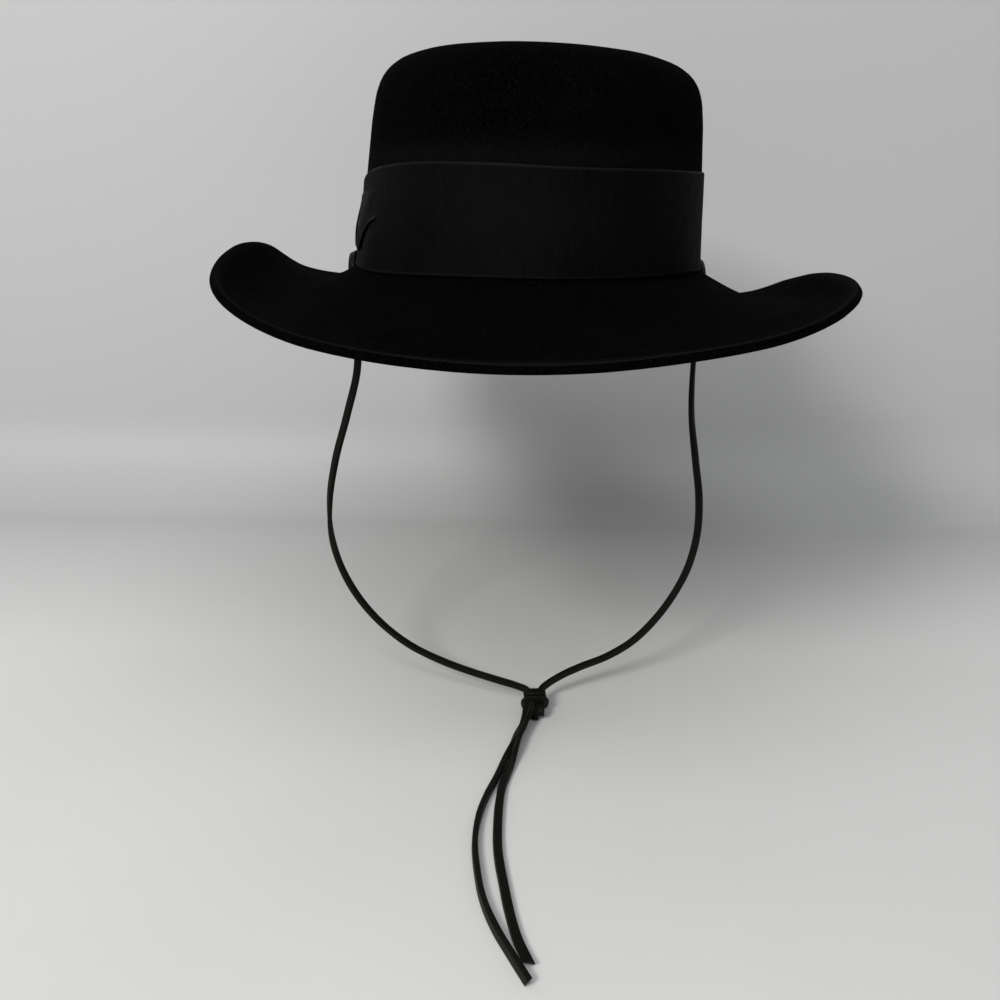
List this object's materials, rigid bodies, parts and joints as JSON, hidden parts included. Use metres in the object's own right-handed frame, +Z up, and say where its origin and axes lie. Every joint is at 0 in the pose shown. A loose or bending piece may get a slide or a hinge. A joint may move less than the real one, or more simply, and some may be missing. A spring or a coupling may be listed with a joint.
{
  "type": "western hat",
  "caption": "Fur-felt western hat with an open rounded crown, wide ribbon and flat side bow, curled brim and a leather chin cord ending in a wrapped knot and free tails.",
  "frame": {"origin": "middle of the head opening, level with the foot of the crown, where the hat sits on a head", "axes": "+Z up through the crown, -Y to the front of the brim, -X to the side with the bow"},
  "size_m": [0.2949, 0.4333, 0.3132],
  "materials": {
    "felt": "black fur felt, short nap, matt",
    "ribbon": "black ribbed ribbon, low sheen along the ribs",
    "lace": "dark brown-black square-cut leather lace, half matt"
  },
  "bodies": {
    "root": {"felt_body": "felt", "ribbon_band": "ribbon", "bow_loop": "ribbon", "bow_wrap": "ribbon", "chin_cord": "lace", "cord_knot": "lace", "cord_tail_left": "lace", "cord_tail_right": "lace"}
  },
  "joints": []
}
